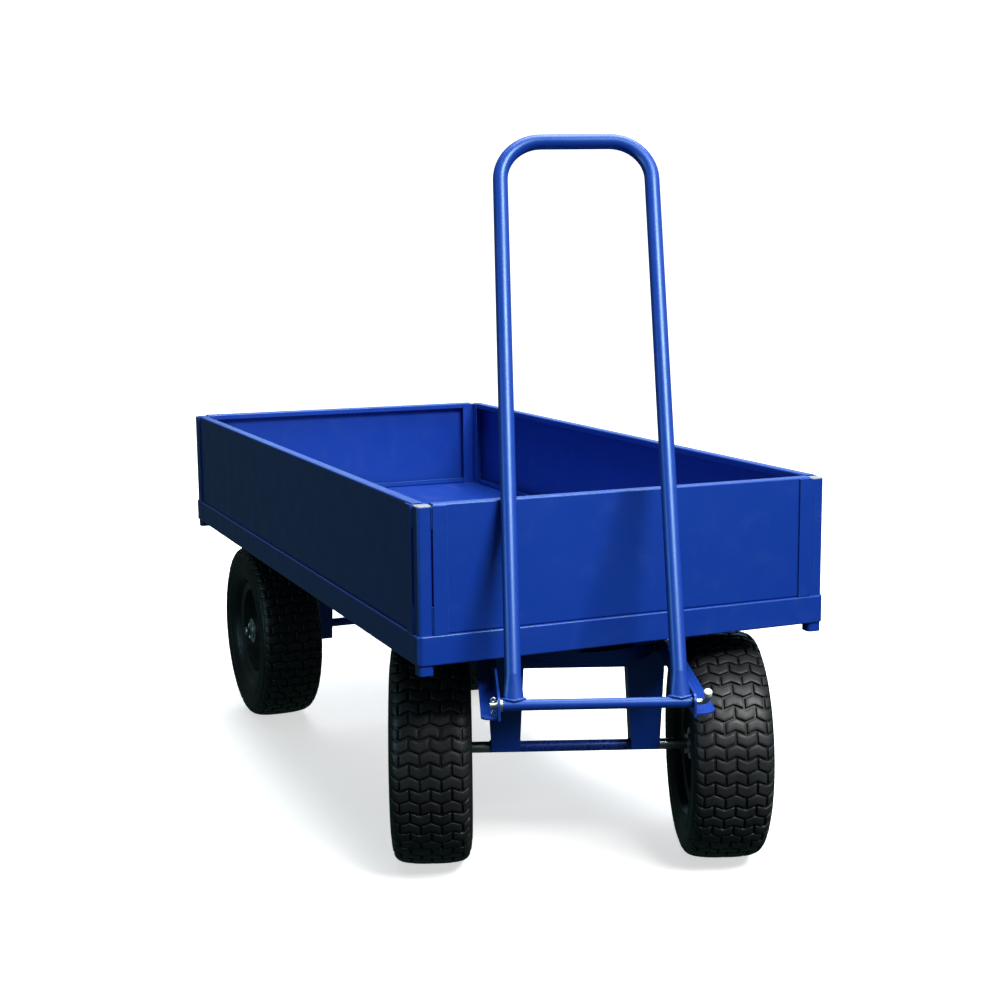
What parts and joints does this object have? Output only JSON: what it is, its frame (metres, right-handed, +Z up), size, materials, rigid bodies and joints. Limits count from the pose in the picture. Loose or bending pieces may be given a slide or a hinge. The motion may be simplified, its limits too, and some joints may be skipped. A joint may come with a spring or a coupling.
{
  "type": "platform truck",
  "caption": "Turntable platform truck: steel deck with lift-out side boards, steered front bogie, hinged loop draw handle and pneumatic turf tyres.",
  "frame": {"origin": "middle of the whole truck's footprint box, on the floor", "axes": "+Z up, +Y along the deck from the draw handle's end to the rear, +X to the right seen from the handle"},
  "size_m": [0.752, 1.8592, 1.2783],
  "materials": {
    "blue_paint": "glossy blue powder coat",
    "deck_paint": "blue powder coat, rubbed by loads",
    "rim_paint": "dark grey enamel",
    "tyre_rubber": "black rubber, satin",
    "tube_rubber": "black rubber",
    "zinc": "zinc plated",
    "steel": "turned steel, oiled",
    "cap_plastic": "moulded, pale",
    "white_plastic": "moulded, white"
  },
  "bodies": {
    "chassis": {"corner_posts": "blue_paint", "cross_members": "blue_paint", "deck_sheet": "deck_paint", "end_rails": "blue_paint", "front_board": "blue_paint", "king_bolt": "zinc", "king_nut": "zinc", "panel_guides": "blue_paint", "post_caps": "cap_plastic", "rear_axle": "blue_paint", "rear_axle_brackets": "blue_paint", "rear_axle_washers": "zinc", "rear_split_pins": "zinc", "side_rails": "blue_paint", "turntable_channels": "blue_paint", "turntable_upper_race": "blue_paint"},
    "bogie": {"bogie_bolster": "blue_paint", "drawbar_arm_left": "blue_paint", "drawbar_arm_right": "blue_paint", "front_axle": "blue_paint", "front_axle_brackets": "blue_paint", "front_axle_washers": "zinc", "front_split_pins": "zinc", "hitch_pin": "zinc", "hitch_pin_cap": "white_plastic", "hitch_split_pin": "zinc", "hitch_washers": "zinc", "turntable_balls": "steel", "turntable_lower_race": "blue_paint"},
    "handle": {"handle_loop": "blue_paint", "pivot_tube": "blue_paint"},
    "rear_board": {"rear_board": "blue_paint"},
    "left_board": {"left_board": "blue_paint"},
    "right_board": {"right_board": "blue_paint"},
    "front_left_wheel": {"front_left_bearings": "steel", "front_left_hub": "zinc", "front_left_inner_tube": "tube_rubber", "front_left_rim_bolts": "zinc", "front_left_rim_halves": "rim_paint", "front_left_tyre": "tyre_rubber"},
    "front_right_wheel": {"front_right_bearings": "steel", "front_right_hub": "zinc", "front_right_inner_tube": "tube_rubber", "front_right_rim_bolts": "zinc", "front_right_rim_halves": "rim_paint", "front_right_tyre": "tyre_rubber"},
    "rear_left_wheel": {"rear_left_bearings": "steel", "rear_left_hub": "zinc", "rear_left_inner_tube": "tube_rubber", "rear_left_rim_bolts": "zinc", "rear_left_rim_halves": "rim_paint", "rear_left_tyre": "tyre_rubber"},
    "rear_right_wheel": {"rear_right_bearings": "steel", "rear_right_hub": "zinc", "rear_right_inner_tube": "tube_rubber", "rear_right_rim_bolts": "zinc", "rear_right_rim_halves": "rim_paint", "rear_right_tyre": "tyre_rubber"}
  },
  "joints": [
    {"name": "turntable", "type": "hinge", "parent": "chassis", "child": "bogie", "pos_m": [0, -0.44813, 0.39751], "axis": [0, 0, 1], "range_deg": [0, 41.66]},
    {"name": "handle_tilt", "type": "hinge", "parent": "bogie", "child": "handle", "pos_m": [-0.15379, -0.85236, 0.40381], "axis": [0.9346, -0.3556, 0], "range_deg": [0, 138]},
    {"name": "rear_board_lift", "type": "slide", "parent": "chassis", "child": "rear_board", "axis": [0, 0, 1], "range_m": [0, 0.215]},
    {"name": "left_board_lift", "type": "slide", "parent": "chassis", "child": "left_board", "axis": [0, 0, 1], "range_m": [0, 0.215]},
    {"name": "right_board_lift", "type": "slide", "parent": "chassis", "child": "right_board", "axis": [0, 0, 1], "range_m": [0, 0.215]},
    {"name": "front_left_spin", "type": "hinge", "parent": "bogie", "child": "front_left_wheel", "pos_m": [-0.24114, -0.35639, 0.20301], "axis": [0.9346, -0.3556, 0], "continuous": true},
    {"name": "front_right_spin", "type": "hinge", "parent": "bogie", "child": "front_right_wheel", "pos_m": [0.24114, -0.53988, 0.20301], "axis": [0.9346, -0.3556, 0], "continuous": true},
    {"name": "rear_left_spin", "type": "hinge", "parent": "chassis", "child": "rear_left_wheel", "pos_m": [-0.258, 0.68157, 0.20301], "axis": [1, 0, 0], "continuous": true},
    {"name": "rear_right_spin", "type": "hinge", "parent": "chassis", "child": "rear_right_wheel", "pos_m": [0.258, 0.68157, 0.20301], "axis": [1, 0, 0], "continuous": true}
  ]
}
